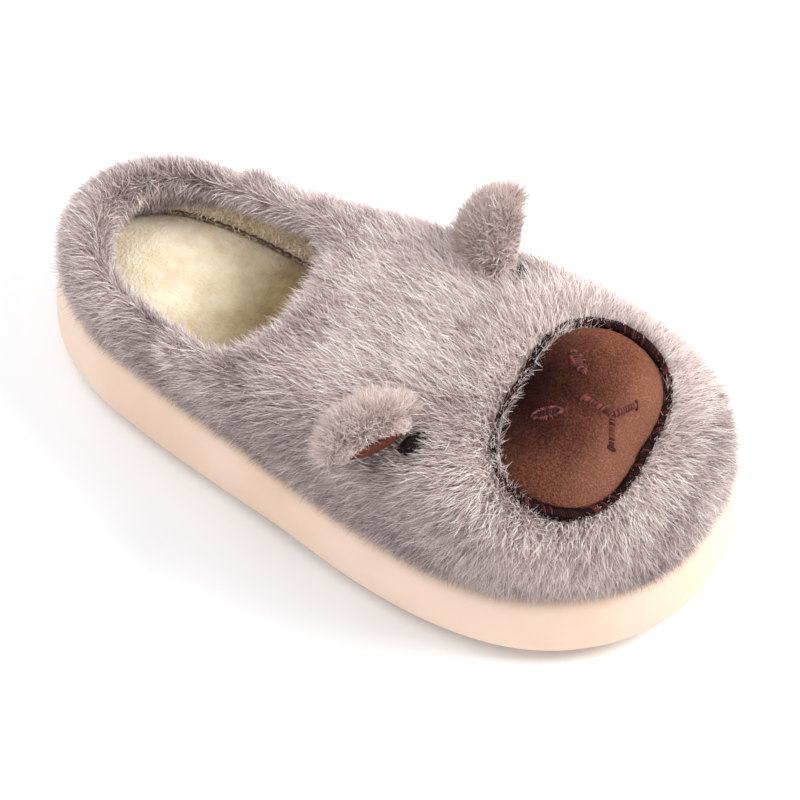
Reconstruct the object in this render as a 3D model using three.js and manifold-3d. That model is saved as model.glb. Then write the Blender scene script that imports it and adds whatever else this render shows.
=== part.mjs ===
import * as THREE from 'three';
import Module from 'manifold-3d';
import { mergeVertices } from 'three/addons/utils/BufferGeometryUtils.js';

// Animal slipper for the right foot, in millimetres.
// +X points to the toe, +Y to the big-toe side, +Z up, and the sole stands on z = 0.

// Sole sizes
const shoeLength = 266;
const ballWidth = 117;
const heelWidth = 91;
const heelThickness = 37;
const ballThickness = 33;
const toeSpring = 7;
const heelLift = 2;
const archRise = 3;
const soleLowerRound = 10;
const soleTaper = 4.5;
const soleUpperRound = 3;

// Upper sizes
const pileInset = 10;
const wallThickness = 6;
const vampBulge = 9;
const collarHeight = 28;
const instepHeight = 58;
const toeHeight = 46;
const domeFullness = 2.9;
const domeShare = 0.86;
const throatShare = 0.425;
const openingShare = 0.29;
const throatSpreadShare = 0.125;
const heelRoll = 15;
const sideRoll = 7;
const throatRoll = 9;
const pileDepth = 8;
const pileLean = 5;
const leastPile = 0.5;
const fringeDrop = 3;
const fringeHang = 1.2;
const tuckShare = 0.3;
const liningSetShare = 0.3;
const liningDropShare = 0.97;

// Insole, ears, eyes and muzzle sizes
const insoleThickness = 6;
const insolePlay = 1.2;
const faceOffset = -4;
const earHeight = 25;
const earOverhang = 5;
const earWidth = 27;
const earBack = 8;
const earFront = 3;
const earPile = 7;
const earShare = 0.58;
const earSpread = 0.718 * ballWidth;
const earYaw = THREE.MathUtils.degToRad(33);
const earNod = THREE.MathUtils.degToRad(20);
const earPatchWidth = 20;
const earPatchHeight = 16;
const earPatchCrown = 1.5;
const earPatchShare = 0.45;
const eyeShare = 0.64;
const eyeSpread = 0.632 * ballWidth;
const eyeLength = 13;
const eyeWidth = 6;
const eyeCrown = 2;
const eyeTurn = THREE.MathUtils.degToRad(49);
const muzzleShare = 0.795;
const muzzleLength = 0.1635 * shoeLength;
const muzzleWidth = 0.598 * ballWidth;
const muzzleSink = 6;
const muzzleCrown = 5;
const padEdge = 1.5;
const borderWidth = 2.4;
const borderHeight = 2.8;
const nostrilLength = 12;
const nostrilWidth = 3.6;
const nostrilSpread = 22;
const nostrilSetBack = 7;
const nostrilTurn = THREE.MathUtils.degToRad(40);
const threadHeight = 0.9;
const mouthStroke = 1.8;
const seatGap = 0.3;
const softGap = 0.5;
const seatSpread = 1.6;
const threadSpread = 0.5;
const earGap = 1.1;
const ringRise = 3.5;
const ringReach = 7;
const ringWidth = 5;
const ringBackShare = 0.35;
const creaseDepth = 2.5;
const creaseReach = 19;
const creaseWidth = 5;
const sinkWidth = 9;

// How finely the forms are cut into facets
const columnCount = 84;
const columnHalf = columnCount / 2;
const facetLength = 9;
const liningFacetLength = 17;
const columnSamples = 60;
const mergeTolerance = 1e-3;

const { lerp, smoothstep, clamp } = THREE.MathUtils;

// The outline of the sole, from the heel along the little-toe side to the toe and back.
// along: share of the length; across: share of half the width of heel or ball
const soleOutline = [
  { along: 0.0, across: 0.0 },
  { along: 0.04, across: -0.5 },
  { along: 0.11, across: -0.81 },
  { along: 0.222, across: -1.0 },
  { along: 0.382, across: -1.12 },
  { along: 0.527, across: -1.11 },
  { along: 0.694, across: -1.068 },
  { along: 0.819, across: -0.97 },
  { along: 0.923, across: -0.69 },
  { along: 0.979, across: -0.37 },
  { along: 1.0, across: 0.04 },
  { along: 0.984, across: 0.45 },
  { along: 0.922, across: 0.76 },
  { along: 0.81, across: 0.91 },
  { along: 0.689, across: 0.925 },
  { along: 0.557, across: 0.9 },
  { along: 0.404, across: 0.925 },
  { along: 0.221, across: 0.985 },
  { along: 0.099, across: 0.85 },
  { along: 0.028, across: 0.52 },
];

// Height of the plush's backing over the sole, in shares of three named heights
const crestTable = [
  { along: 0.0, collar: 1.0, instep: 0.0, toe: 0.0 },
  { along: 0.15, collar: 1.0, instep: 0.0, toe: 0.0 },
  { along: 0.28, collar: 1.03, instep: 0.0, toe: 0.0 },
  { along: 0.36, collar: 0.66, instep: 0.27, toe: 0.0 },
  { along: 0.43, collar: 0.2, instep: 0.62, toe: 0.0 },
  { along: 0.52, collar: 0.0, instep: 0.9, toe: 0.0 },
  { along: 0.62, collar: 0.0, instep: 1.0, toe: 0.0 },
  { along: 0.72, collar: 0.0, instep: 1.0, toe: 0.0 },
  { along: 0.81, collar: 0.0, instep: 0.55, toe: 0.5 },
  { along: 0.9, collar: 0.0, instep: 0.1, toe: 0.9 },
  { along: 1.0, collar: 0.0, instep: 0.0, toe: 0.95 },
];

// The edge of the sole's side, from the floor up: shares of its own rounds and height
const soleSide = [
  { inset: 1.0, round: 0.0, height: 0.0, taper: 0.0 },
  { inset: 0.3, round: 0.3, height: 0.0, taper: 0.0 },
  { inset: 0.0, round: 1.1, height: 0.0, taper: 0.0 },
  { inset: 0.0, round: 0.45, height: 0.6, taper: 0.35 },
];

// One row for each ring of an ear, from its foot up, in shares of its height, width and depth
const earRings = [
  { up: 0.0, wide: 0.35, thick: 0.4 },
  { up: 0.0, wide: 0.7, thick: 0.8 },
  { up: 0.22, wide: 0.92, thick: 1.0 },
  { up: 0.48, wide: 1.0, thick: 1.0 },
  { up: 0.74, wide: 0.84, thick: 0.85 },
  { up: 0.93, wide: 0.5, thick: 0.6 },
  { up: 1.0, wide: 0.0, thick: 0.0 },
];

// The muzzle's mouth, in shares of half its length and width from its middle
const mouthStrokes = [
  { fromX: 0.02, fromY: 0, toX: 0.55, toY: 0 },
  { fromX: 0.51, fromY: 0, toX: 0.75, toY: 0.28 },
  { fromX: 0.51, fromY: 0, toX: 0.75, toY: -0.28 },
];

// How far the upper stands out past its foot, on either side, in shares of the bulge
const bulgeTable = [
  { along: 0.0, little: -0.2, big: -0.2 },
  { along: 0.2, little: 0.1, big: 0.3 },
  { along: 0.32, little: 0.5, big: 1.0 },
  { along: 0.42, little: 0.9, big: 1.4 },
  { along: 0.55, little: 1.0, big: 1.4 },
  { along: 0.7, little: 1.0, big: 1.1 },
  { along: 0.85, little: 1.0, big: 1.0 },
  { along: 1.0, little: 0.6, big: 0.6 },
];

// The muzzle's rim from its back round one side to its front, in shares of its size
const muzzleRim = [
  { angle: 180, reach: 0.475 },
  { angle: 145, reach: 0.481 },
  { angle: 115, reach: 0.511 },
  { angle: 85, reach: 0.5 },
  { angle: 50, reach: 0.516 },
  { angle: 20, reach: 0.526 },
  { angle: 0, reach: 0.525 },
];

// Plan helpers
const stationX = (along) => (along - 0.5) * shoeLength;
const alongOf = (x) => clamp(x / shoeLength + 0.5, 0, 1);
const halfWidth = (along) => lerp(heelWidth, ballWidth, smoothstep(along, 0.3, 0.7)) / 2;

function tableReader(rows, key) {
  const names = Object.keys(rows[0]).filter((name) => name !== key);
  const places = rows.map((row) => row[key]);
  const values = rows.flatMap((row) => names.map((name) => row[name]));
  const curve = new THREE.CubicInterpolant(places, values, names.length);
  return (place) => {
    const result = curve.evaluate(clamp(place, places[0], places[places.length - 1]));
    return Object.fromEntries(names.map((name, k) => [name, result[k]]));
  };
}

// The sole's edge as a smooth closed curve, in equal steps, with its inward direction
const edgeCurve = new THREE.CatmullRomCurve3(
  soleOutline.map((row) => new THREE.Vector3(
    stationX(row.along), row.across * halfWidth(row.along), 0)), true, 'centripetal');
const edgePoints = edgeCurve.getSpacedPoints(columnCount).slice(0, columnCount);
const edgeInward = edgePoints.map((point, i) => {
  const before = edgePoints[(i + columnCount - 1) % columnCount];
  const after = edgePoints[(i + 1) % columnCount];
  return new THREE.Vector3(before.y - after.y, after.x - before.x, 0).normalize();
});
const inset = (i, depth) => edgePoints[i].clone().addScaledVector(edgeInward[i], depth);

// Distance from a plan point to a closed line of plan points
function distanceTo(line, x, y) {
  let best = Infinity;
  line.forEach((a, i) => {
    const b = line[(i + 1) % line.length];
    const dx = b.x - a.x;
    const dy = b.y - a.y;
    const share = clamp(((x - a.x) * dx + (y - a.y) * dy) / (dx * dx + dy * dy), 0, 1);
    best = Math.min(best, Math.hypot(x - a.x - share * dx, y - a.y - share * dy));
  });
  return best;
}

// Floor side and top of the sole at a station along the shoe
function soleUnder(x) {
  const along = alongOf(x);
  const arch = archRise * Math.sin(Math.PI * clamp((along - 0.36) / 0.22, 0, 1)) ** 2;
  const toe = toeSpring * clamp((along - 0.84) / 0.16, 0, 1) ** 2;
  const heel = heelLift * clamp((0.05 - along) / 0.05, 0, 1) ** 2;
  return arch + toe + heel;
}

function soleTop(x) {
  const along = alongOf(x);
  const spring = toeSpring * clamp((along - 0.72) / 0.28, 0, 1) ** 1.5;
  return lerp(heelThickness, ballThickness, smoothstep(along, 0.25, 0.72)) + spring;
}

// A closed body from triangles: shared corners are merged and empty facets dropped
function closedGeometry(triangles) {
  const soup = new THREE.BufferGeometry().setFromPoints(triangles.flat());
  const merged = mergeVertices(soup, mergeTolerance);
  const index = merged.getIndex().array;
  const kept = [];
  for (let k = 0; k < index.length; k += 3) {
    const [a, b, c] = index.slice(k, k + 3);
    if (a !== b && b !== c && c !== a) kept.push(a, b, c);
  }
  merged.setIndex(kept);
  merged.computeVertexNormals();
  return merged;
}

// Facets between two rings of points, from column first to column last
function ringBand(lower, upper, first = 0, last = lower.length) {
  const facets = [];
  for (let k = first; k < last; k += 1) {
    const i = (k + lower.length) % lower.length;
    const j = (i + 1) % lower.length;
    facets.push([lower[i], lower[j], upper[j]], [lower[i], upper[j], upper[i]]);
  }
  return facets;
}

// A face across a ring whose columns i and n - i lie opposite each other
function crossFace(ring, heightAt, facingUp) {
  const n = ring.length;
  const middle = ring.map((point, i) => {
    const centre = point.clone().add(ring[(n - i) % n]).multiplyScalar(0.5);
    centre.z = heightAt(centre.x);
    return i % (n / 2) === 0 ? point : centre;
  });
  const facets = ringBand(ring, middle);
  return facingUp ? facets : facets.map(([a, b, c]) => [a, c, b]);
}

const fleece = (a, b) => {
  const wave = Math.sin(a * 12.9898 + b * 78.233) * 43758.5453;
  return wave - Math.floor(wave);
};

// Sole: one thick foamed unit with a rounded lower edge and a side that leans in
function makeSole() {
  const rings = soleSide.map((row) => edgePoints.map((_, i) => {
    const place = inset(i, row.inset * soleLowerRound + row.taper * soleTaper);
    const under = soleUnder(place.x);
    const rise = soleTop(place.x) - under;
    place.z = under + row.round * soleLowerRound + row.height * (rise - soleLowerRound);
    return place;
  }));
  const shoulder = edgePoints.map((_, i) => {
    const place = inset(i, soleTaper);
    place.z = soleTop(place.x) - soleUpperRound;
    return place;
  });
  const rim = edgePoints.map((_, i) => {
    const place = inset(i, soleTaper + soleUpperRound);
    place.z = soleTop(place.x);
    return place;
  });
  const walls = [...rings, shoulder, rim];
  const facets = crossFace(rings[0], soleUnder, false);
  for (let k = 1; k < walls.length; k += 1) facets.push(...ringBand(walls[k - 1], walls[k]));
  facets.push(...crossFace(rim, soleTop, true));
  return closedGeometry(facets);
}

// The muzzle's place and rim
const muzzleCentre = new THREE.Vector3(stationX(muzzleShare), faceOffset, 0);
const rimReach = tableReader([...muzzleRim].reverse(), 'angle');

function muzzleRadius(angle) {
  const turn = Math.abs(THREE.MathUtils.radToDeg(Math.atan2(Math.sin(angle), Math.cos(angle))));
  const side = Math.abs(Math.sin(angle));
  return rimReach(turn).reach * lerp(muzzleLength, muzzleWidth, side ** 2);
}

// How far a plan point lies outside the muzzle's rim; negative inside it
function beyondMuzzle(x, y) {
  const dx = x - muzzleCentre.x;
  const dy = y - muzzleCentre.y;
  return Math.hypot(dx, dy) - muzzleRadius(Math.atan2(dy, dx)) - borderWidth;
}

// The puffed ring round the muzzle and the crease beyond it
function muzzleRelief(x, y) {
  const beyond = beyondMuzzle(x, y);
  const back = muzzleCentre.x - muzzleLength / 2;
  const front = lerp(ringBackShare, 1, smoothstep(x, back, muzzleCentre.x));
  const ring = ringRise * Math.exp(-(((beyond - ringReach) / ringWidth) ** 2));
  const crease = creaseDepth * Math.exp(-(((beyond - creaseReach) / creaseWidth) ** 2));
  const sink = muzzleSink * Math.exp(-((beyond / sinkWidth) ** 2));
  return (ring - crease) * front - sink;
}

// Upper: the wall's plan lines, its crest and its skin as a height over the plan
const bulgeShares = tableReader(bulgeTable, 'along');
function bulgeAt(point) {
  const share = bulgeShares(alongOf(point.x));
  const side = smoothstep(point.y, -heelWidth / 4, heelWidth / 4);
  return vampBulge * lerp(share.little, share.big, side);
}
const wallLine = edgePoints.map((point, i) => inset(i, pileInset - bulgeAt(point)));
const liningLine = edgePoints.map((point, i) => (
  inset(i, pileInset + wallThickness - bulgeAt(point))));
const crestShares = tableReader(crestTable, 'along');
const domeReach = domeShare * (ballWidth / 2 - pileInset + vampBulge);
const domeRise = (share) => (1 - (1 - share) ** domeFullness) ** (1 / domeFullness);

const seatAt = (x) => soleTop(x) + seatGap;

function crestAt(x) {
  const share = crestShares(alongOf(x));
  return seatAt(x) + share.collar * collarHeight + share.instep * instepHeight
    + share.toe * toeHeight;
}

const reliefAt = (spot, share) => muzzleRelief(spot.x, spot.y) * smoothstep(share, 0.1, 0.5);

function skinAt(x, y) {
  const share = clamp(distanceTo(wallLine, x, y) / domeReach, 0, 1);
  return seatAt(x) + (crestAt(x) - seatAt(x)) * domeRise(share) + reliefAt({ x, y }, share);
}

// Columns that end at the opening, and the first pair that meets on the middle line
const pairX = (i) => (edgePoints[i].x + edgePoints[(columnCount - i) % columnCount].x) / 2;
const countTo = (along) => {
  let count = 0;
  while (count < columnHalf && pairX(count) < stationX(along)) count += 1;
  return count;
};
const collarLast = countTo(openingShare);
const throatLast = countTo(throatShare + throatSpreadShare);
const poleX = lerp(stationX(throatShare), stationX(1), 0.66);
const onSide = (i) => Math.min(i, columnCount - i);

function rollAt(i) {
  const side = onSide(i);
  const heel = 1 - smoothstep(side, 0, collarLast * 0.7);
  const throat = smoothstep(side, collarLast, throatLast);
  return sideRoll + (heelRoll - sideRoll) * heel + (throatRoll - sideRoll) * throat;
}

const throatMiddle = new THREE.Vector3(stationX(throatShare), 0, 0);

// Plan place of a column's top: on the collar's ridge, on the throat or on the middle line
function ridgePlace(i) {
  const side = onSide(i);
  if (side <= collarLast) return inset(i, pileInset + rollAt(i) / 2);
  if (side >= throatLast) {
    const share = (side - throatLast) / (columnHalf - throatLast);
    return new THREE.Vector3(lerp(throatMiddle.x, poleX, share), 0, 0);
  }
  const last = i < columnHalf ? collarLast : columnCount - collarLast;
  const corner = inset(last, pileInset + rollAt(last) / 2);
  const turn = (Math.PI / 2) * ((side - collarLast) / (throatLast - collarLast));
  const forward = Math.sin(turn) ** 0.85;
  const sideways = Math.cos(turn) ** 0.85;
  return new THREE.Vector3(
    lerp(corner.x, throatMiddle.x, forward), lerp(0, corner.y, sideways), 0);
}

function openingInward(i) {
  const side = onSide(i);
  const back = new THREE.Vector3(-1, 0, 0);
  const share = smoothstep(side, collarLast * 0.8, throatLast);
  const start = edgeInward[Math.min(side, collarLast)].clone();
  if (i > columnHalf) start.copy(edgeInward[columnCount - Math.min(side, collarLast)]);
  return start.lerp(back, share).normalize();
}

// Points of one column on the outside or inside of the wall, in even steps up to its top
function wallColumn(i, inner) {
  const depth = inner ? wallThickness : 0;
  const line = inner ? liningLine : wallLine;
  const foot = line[i];
  const base = inset(i, pileInset + depth);
  const roll = rollAt(i);
  const open = onSide(i) <= throatLast;
  const top = ridgePlace(i);
  if (inner && open) top.addScaledVector(openingInward(i), roll * liningSetShare);
  let drop = 0;
  if (inner) drop = open ? roll * liningDropShare : wallThickness;
  const reach = domeReach - depth;
  const place = (walk) => {
    const s = walk ** 2;
    const spot = foot.clone().lerp(top, s);
    const far = clamp(distanceTo(line, spot.x, spot.y) / reach, 0, 1);
    const share = open ? Math.max(s, far) : far;
    const relief = open ? 0 : reliefAt(spot, share);
    const rise = (crestAt(spot.x) - drop - seatAt(spot.x)) * domeRise(share) + relief;
    const tuck = clamp(1 - share / tuckShare, 0, 1) ** 2;
    spot.addScaledVector(base.clone().sub(foot), tuck);
    spot.z = seatAt(spot.x) + rise;
    return spot;
  };
  const samples = Array.from({ length: columnSamples + 1 }, (_, k) => place(k / columnSamples));
  const lengths = [0];
  samples.slice(1).forEach((point, k) => lengths.push(lengths[k] + point.distanceTo(samples[k])));
  const total = lengths[lengths.length - 1];
  const pitch = inner ? liningFacetLength : facetLength;
  const steps = Math.max(3, Math.round(total / pitch));
  return Array.from({ length: steps + 1 }, (_, k) => {
    const wanted = (total * k) / steps;
    let m = 1;
    while (m < samples.length - 1 && lengths[m] < wanted) m += 1;
    const part = (wanted - lengths[m - 1]) / (lengths[m] - lengths[m - 1]);
    return samples[m - 1].clone().lerp(samples[m], clamp(part, 0, 1));
  });
}

// The way the pile lies: back along the sides, outwards at heel and toe, round the muzzle
function napAt(point) {
  const along = alongOf(point.x);
  const nap = new THREE.Vector3(-1, 0, -0.3);
  const heelWay = new THREE.Vector3(point.x - stationX(0.25), point.y, 0).normalize();
  const toeWay = new THREE.Vector3(point.x, point.y, 0).sub(muzzleCentre).setZ(0).normalize();
  nap.lerp(heelWay, 1 - smoothstep(along, 0.08, 0.3));
  nap.lerp(toeWay, smoothstep(along, 0.68, 0.85));
  nap.z -= 0.35;
  return nap.normalize();
}

// How deep the pile stands at a place: none under the ears, eyes and muzzle
const onSkinAt = (along, offset) => {
  const x = stationX(along);
  return new THREE.Vector3(x, faceOffset + offset, skinAt(x, faceOffset + offset));
};
const bareSpots = [-1, 1].flatMap((side) => [
  { place: onSkinAt(earShare, (side * earSpread) / 2), reach: earWidth / 3 },
  { place: onSkinAt(eyeShare, (side * eyeSpread) / 2), reach: eyeLength / 2 },
]);
const rimLowest = Math.min(...edgePoints.map((_, i) => {
  const angle = (i / columnCount) * 2 * Math.PI;
  const reach = muzzleRadius(angle) + borderWidth;
  return skinAt(
    muzzleCentre.x + Math.cos(angle) * reach, muzzleCentre.y + Math.sin(angle) * reach);
}));

function pileAt(point) {
  const spots = bareSpots.map(({ place, reach }) => place.distanceTo(point) - reach);
  const below = Math.max(rimLowest - point.z, 0);
  const muzzle = beyondMuzzle(point.x, point.y) + below;
  const clear = Math.min(...spots, muzzle) - facetLength / 2;
  return pileDepth * clamp(clear / pileLean, 0, 1);
}

// How far a place lies inside the sole's edge; negative outside it
function insideEdge(place) {
  const gaps = edgePoints.map((point) => Math.hypot(place.x - point.x, place.y - point.y));
  const nearest = gaps.indexOf(Math.min(...gaps));
  return place.clone().sub(edgePoints[nearest]).dot(edgeInward[nearest]);
}

// Facets of a band whose cells each rise to a lock of pile that leans with the nap
function pileBand(lower, upper, depthAt, wayAt, seed, first = 0, last = lower.length) {
  const facets = [];
  for (let k = first; k < last; k += 1) {
    const i = (k + lower.length) % lower.length;
    const j = (i + 1) % lower.length;
    if (lower[i] === upper[i] && lower[j] === upper[j]) continue;
    const corners = [lower[i], lower[j], upper[j], upper[i]];
    const centre = new THREE.Vector3();
    corners.forEach((corner) => centre.addScaledVector(corner, 0.25));
    const across = corners[2].clone().sub(corners[0]);
    const normal = across.cross(corners[3].clone().sub(corners[1])).normalize();
    const depth = depthAt(centre, normal) * (0.7 + 0.5 * fleece(i, seed));
    const nap = wayAt(centre);
    nap.addScaledVector(normal, -nap.dot(normal));
    const tip = centre.clone().addScaledVector(normal, depth);
    tip.addScaledVector(nap, (pileLean * depth) / pileDepth);
    const hangs = insideEdge(tip) < -fringeDrop;
    tip.z = Math.max(tip.z, soleTop(tip.x) + (hangs ? -fringeDrop : softGap));
    if (depth > leastPile) {
      corners.forEach((corner, c) => facets.push([corner, corners[(c + 1) % 4], tip]));
    } else {
      facets.push([corners[0], corners[1], corners[2]], [corners[0], corners[2], corners[3]]);
    }
  }
  return facets;
}

// Upper: a hollow plush shell with a closed toe, open at the collar and underneath
function makeUpper() {
  const outer = edgePoints.map((_, i) => wallColumn(i, false));
  const inner = edgePoints.map((_, i) => wallColumn(i, true));
  const rowOf = (columns, k) => columns.map((column) => column[Math.min(k, column.length - 1)]);
  const outerRows = Math.max(...outer.map((column) => column.length));
  const innerRows = Math.max(...inner.map((column) => column.length));
  const facets = [];
  for (let k = 1; k < outerRows; k += 1) {
    const hang = new THREE.Vector3(0, 0, k < 3 ? -fringeHang : 0);
    const way = (point) => napAt(point).add(hang);
    facets.push(...pileBand(rowOf(outer, k - 1), rowOf(outer, k), pileAt, way, k));
  }
  const ridge = rowOf(outer, outerRows);
  const arcRow = (turn) => ridge.map((top, i) => {
    const radius = rollAt(i) / 2;
    const way = openingInward(i);
    return new THREE.Vector3(
      top.x + way.x * radius * Math.sin(turn),
      top.y + way.y * radius * Math.sin(turn),
      top.z - radius + radius * Math.cos(turn));
  });
  const turns = [0.25, 0.5, 0.72].map((share) => arcRow(share * Math.PI));
  const rollRows = [ridge, ...turns];
  [0.8, 0.6].forEach((fullness, k) => {
    const depth = (point) => pileAt(point) * fullness;
    const [lower, upper] = rollRows.slice(k, k + 2);
    facets.push(...pileBand(lower, upper, depth, napAt, k, -throatLast, throatLast));
  });
  const liningTop = rowOf(inner, innerRows);
  facets.push(...ringBand(rollRows[2], rollRows[3], -throatLast, throatLast));
  facets.push(...ringBand(rollRows[3], liningTop, -throatLast, throatLast));
  for (let k = innerRows - 1; k > 0; k -= 1) {
    facets.push(...ringBand(rowOf(inner, k), rowOf(inner, k - 1)));
  }
  facets.push(...ringBand(rowOf(inner, 0), rowOf(outer, 0)));
  return closedGeometry(facets);
}

// Insole: a plush-covered foot bed that fills the floor of the upper
function makeInsole() {
  const side = pileInset + wallThickness + insolePlay;
  const level = (x, up) => soleTop(x) + seatGap + up;
  const rings = [
    { depth: 0, up: 0 },
    { depth: 0, up: insoleThickness * 0.6 },
    { depth: insoleThickness * 0.5, up: insoleThickness },
  ].map((row) => edgePoints.map((_, i) => {
    const place = inset(i, side + row.depth);
    place.z = level(place.x, row.up);
    return place;
  }));
  return closedGeometry([
    ...crossFace(rings[0], (x) => level(x, 0), false),
    ...ringBand(rings[0], rings[1]),
    ...ringBand(rings[1], rings[2]),
    ...crossFace(rings[2], (x) => level(x, insoleThickness), true),
  ]);
}

// Height of a body's highest facet over a plan point
function topFacets(geometry) {
  const place = geometry.getAttribute('position');
  const index = geometry.getIndex().array;
  const corner = (k) => new THREE.Vector3().fromBufferAttribute(place, index[k]);
  const facets = [];
  for (let k = 0; k < index.length; k += 3) {
    const [a, b, c] = [corner(k), corner(k + 1), corner(k + 2)];
    const area = (b.x - a.x) * (c.y - a.y) - (c.x - a.x) * (b.y - a.y);
    if (area > 0) facets.push({ a, b, c, area });
  }
  return (x, y) => {
    let highest = -Infinity;
    facets.forEach(({ a, b, c, area }) => {
      const u = ((b.x - x) * (c.y - y) - (c.x - x) * (b.y - y)) / area;
      const v = ((c.x - x) * (a.y - y) - (a.x - x) * (c.y - y)) / area;
      const w = 1 - u - v;
      if (Math.min(u, v, w) >= 0) highest = Math.max(highest, u * a.z + v * b.z + w * c.z);
    });
    return highest;
  };
}

const upperBody = makeUpper();
const upperTop = topFacets(upperBody);

// A pad that lies on a surface: rings from under its middle, out and back over its top.
// out: share of the rim's radius; past: distance beyond the rim; up: height over the surface.
// Its underside keeps its gap to the facets below, and its top follows the smooth form.
const seatCross = [[0, 0], [1, 0], [-1, 0], [0, 1], [0, -1]];
function padOnSurface(centre, radiusAt, columns, rows, seat, ringShaped = false) {
  const rings = rows.map((row) => Array.from({ length: columns }, (_, i) => {
    const angle = (i / columns) * 2 * Math.PI;
    const reach = radiusAt(angle) * row.out + (row.past ?? 0);
    const x = centre.x + Math.cos(angle) * reach;
    const y = centre.y + Math.sin(angle) * reach;
    const heights = seatCross.map(([dx, dy]) => (
      seat.facets(x + dx * seat.spread, y + dy * seat.spread)));
    const under = Math.max(...heights) + seat.gap;
    const over = Math.max(seat.form(x, y) + seat.gap, under) + row.up;
    return new THREE.Vector3(x, y, row.up > 0 ? over : under);
  }));
  if (ringShaped) rings.push(rings[0]);
  const facets = [];
  for (let k = 1; k < rings.length; k += 1) facets.push(...ringBand(rings[k - 1], rings[k]));
  return closedGeometry(facets);
}

function padRows(edge, crown, outs = [0.95, 0.55]) {
  const under = [0, ...outs.toReversed()].map((out) => ({ out, up: 0 }));
  const over = [...outs, 0].map((out) => ({ out, up: edge + crown * (1 - out ** 3) }));
  return [...under, { out: 1, up: edge * 0.6 }, ...over];
}

const ellipse = (length, width, turn) => (angle) => {
  const a = Math.cos(angle - turn) / (length / 2);
  const b = Math.sin(angle - turn) / (width / 2);
  return 1 / Math.hypot(a, b);
};

const onSkin = { form: skinAt, facets: upperTop, gap: softGap, spread: seatSpread };

// Muzzle: a domed velour pad, and the corded stitching round its rim
const makeMuzzle = () => padOnSurface(muzzleCentre, muzzleRadius, 48,
  padRows(padEdge, muzzleCrown, [0.96, 0.86, 0.72, 0.54, 0.3]), onSkin);

const makeBorder = () => padOnSurface(muzzleCentre, muzzleRadius, 64, [
  { out: 1, past: seatGap, up: 0 },
  { out: 1, past: seatGap + borderWidth, up: 0 },
  { out: 1, past: seatGap + borderWidth, up: borderHeight * 0.6 },
  { out: 1, past: seatGap + borderWidth / 2, up: borderHeight },
  { out: 1, past: seatGap, up: borderHeight * 0.6 },
], onSkin, true);

function muzzleTopAt(x, y) {
  const dx = x - muzzleCentre.x;
  const dy = y - muzzleCentre.y;
  const out = Math.hypot(dx, dy) / muzzleRadius(Math.atan2(dy, dx));
  return skinAt(x, y) + softGap + padEdge + muzzleCrown * (1 - out ** 3);
}

const muzzleBody = makeMuzzle();
const muzzleTop = topFacets(muzzleBody);
const onMuzzle = { form: muzzleTopAt, facets: muzzleTop, gap: seatGap, spread: threadSpread };

// Nostril: a small oval of satin stitch; side is 1 on the big-toe side and -1 on the other
function makeNostril(side) {
  const centre = muzzleCentre.clone();
  centre.x -= nostrilSetBack;
  centre.y += (side * nostrilSpread) / 2;
  const oval = ellipse(nostrilLength, nostrilWidth, -side * nostrilTurn);
  return padOnSurface(centre, oval, 14, padRows(threadHeight / 2, threadHeight / 2), onMuzzle);
}

// Mouth: three rows of stitch joined where they meet
async function makeMouth() {
  const wasm = await Module();
  wasm.setup();
  const strokes = mouthStrokes.map((row) => {
    const spot = (x, y) => muzzleCentre.clone().add(
      new THREE.Vector3((x * muzzleLength) / 2, (y * muzzleWidth) / 2, 0));
    const start = spot(row.fromX, row.fromY);
    const end = spot(row.toX, row.toY);
    const along = end.clone().sub(start);
    const turn = Math.atan2(along.y, along.x);
    const centre = start.clone().add(end).multiplyScalar(0.5);
    const oval = ellipse(along.length() + mouthStroke, mouthStroke, turn);
    const bar = padOnSurface(centre, oval, 12, padRows(threadHeight, 0, [0.8]), onMuzzle);
    const vertProperties = new Float32Array(bar.getAttribute('position').array);
    const triVerts = new Uint32Array(bar.getIndex().array);
    return new wasm.Manifold(new wasm.Mesh({ numProp: 3, vertProperties, triVerts }));
  });
  const joined = strokes.reduce((all, stroke) => all.add(stroke)).getMesh();
  const geometry = new THREE.BufferGeometry();
  geometry.setAttribute('position', new THREE.BufferAttribute(joined.vertProperties, 3));
  geometry.setIndex(new THREE.BufferAttribute(joined.triVerts, 1));
  geometry.computeVertexNormals();
  return geometry;
}

// Eye: a small dark half-shut lid
function makeEye(side) {
  const centre = new THREE.Vector3(stationX(eyeShare), faceOffset + (side * eyeSpread) / 2, 0);
  const oval = ellipse(eyeLength, eyeWidth, -side * eyeTurn);
  return padOnSurface(centre, oval, 16, padRows(0.6, eyeCrown), onSkin);
}

// The ear's own directions: across it, up it, and out of its face
function earFrame(side) {
  const across = new THREE.Vector3(Math.sin(earYaw), -side * Math.cos(earYaw), 0);
  const face = new THREE.Vector3(
    Math.cos(earYaw) * Math.cos(earNod), side * Math.sin(earYaw) * Math.cos(earNod),
    -Math.sin(earNod));
  if (side > 0) across.negate();
  const up = face.clone().cross(across);
  const foot = new THREE.Vector3(stationX(earShare), faceOffset + (side * earSpread) / 2, 0);
  foot.z = upperTop(foot.x, foot.y) + earGap;
  return { across, face, up, foot };
}

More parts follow.
